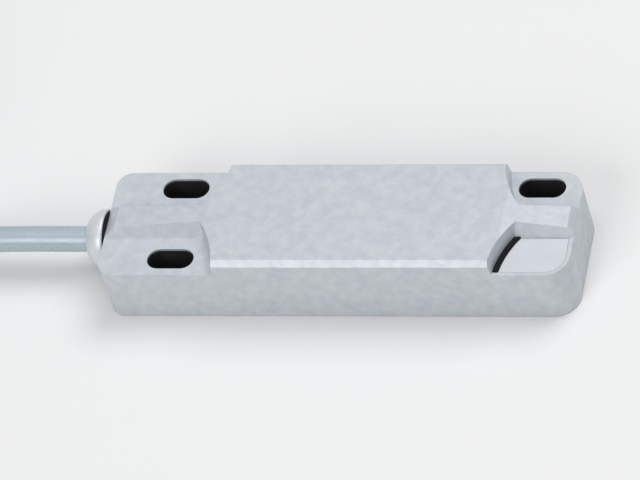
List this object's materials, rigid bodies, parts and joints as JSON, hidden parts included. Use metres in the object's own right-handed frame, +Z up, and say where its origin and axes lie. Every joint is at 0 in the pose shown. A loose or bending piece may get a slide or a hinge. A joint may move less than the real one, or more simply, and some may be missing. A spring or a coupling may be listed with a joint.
{
  "type": "proximity sensor",
  "caption": "Rectangular magnetic proximity sensor: raised sensing face, low slotted corner pads, indicator corner and a moulded-on cable in a tied hank.",
  "frame": {"origin": "centre of the housing's mounting face, on the surface the sensor lies on", "axes": "+X along the housing away from the cable, +Y to the back, +Z up through the raised sensing face"},
  "size_m": [0.2254, 0.0448, 0.0256],
  "materials": {
    "cast_aluminium": "fine blasted die casting, silver-grey",
    "black_plastic": "moulded, matt",
    "sealing_sheet": "soft die-cut sheet",
    "potting_resin": "cast epoxy",
    "black_rubber": "matt moulded",
    "board_laminate": "green solder resist",
    "reed_glass": "drawn tube, green tint",
    "reed_metal": "plated nickel-iron wire",
    "blade_metal": "plated contact spring",
    "resistor_body": "lacquered",
    "diode_body": "glass-like orange body",
    "capacitor_body": "moulded",
    "led_body": "white body with a yellow die cover",
    "lens_plastic": "pale translucent moulding, satin",
    "clamp_steel": "crimped ring",
    "cable_jacket": "extruded, blue-grey",
    "wire_brown": "extruded insulation",
    "wire_blue": "extruded insulation",
    "wire_black": "extruded insulation",
    "wire_white": "extruded insulation",
    "tie_plastic": "moulded strap",
    "ferrule_metal": "tinned copper"
  },
  "bodies": {
    "sensor": {"housing": "cast_aluminium", "base_tray": "black_plastic", "base_seal": "sealing_sheet", "potting_resin": "potting_resin", "lens_seal": "black_rubber", "circuit_board": "board_laminate", "reed_glass_1": "reed_glass", "reed_glass_2": "reed_glass", "reed_leads_1": "reed_metal", "reed_leads_2": "reed_metal", "series_resistors": "resistor_body", "protection_diode": "diode_body", "filter_capacitor": "capacitor_body", "indicator_led": "led_body", "indicator_lens": "lens_plastic", "gland_collar": "cast_aluminium", "gland_seal": "black_rubber", "strain_clamp": "clamp_steel", "cable_entry": "cable_jacket", "wire_brown_inside": "wire_brown", "wire_blue_inside": "wire_blue", "wire_black_inside": "wire_black", "wire_white_inside": "wire_white", "cable_free_run": "cable_jacket", "cable_hank": "cable_jacket", "cable_tail": "cable_jacket", "hank_ties": "tie_plastic", "lead_brown": "wire_brown", "lead_blue": "wire_blue", "lead_black": "wire_black", "lead_white": "wire_white", "lead_ferrules": "ferrule_metal"},
    "reed_blade_1_body": {"reed_blade_1": "blade_metal"},
    "reed_blade_2_body": {"reed_blade_2": "blade_metal"}
  },
  "joints": [
    {"name": "reed_1_contact", "type": "hinge", "parent": "sensor", "child": "reed_blade_1_body", "pos_m": [-0.00235, 0.006, 0.00939], "axis": [0, -1, 0], "range_deg": [0, 1.8], "stiffness_Nm_per_rad": 0.02},
    {"name": "reed_2_contact", "type": "hinge", "parent": "sensor", "child": "reed_blade_2_body", "pos_m": [-0.00235, -0.006, 0.00939], "axis": [0, -1, 0], "range_deg": [0, 1.8], "stiffness_Nm_per_rad": 0.02}
  ]
}
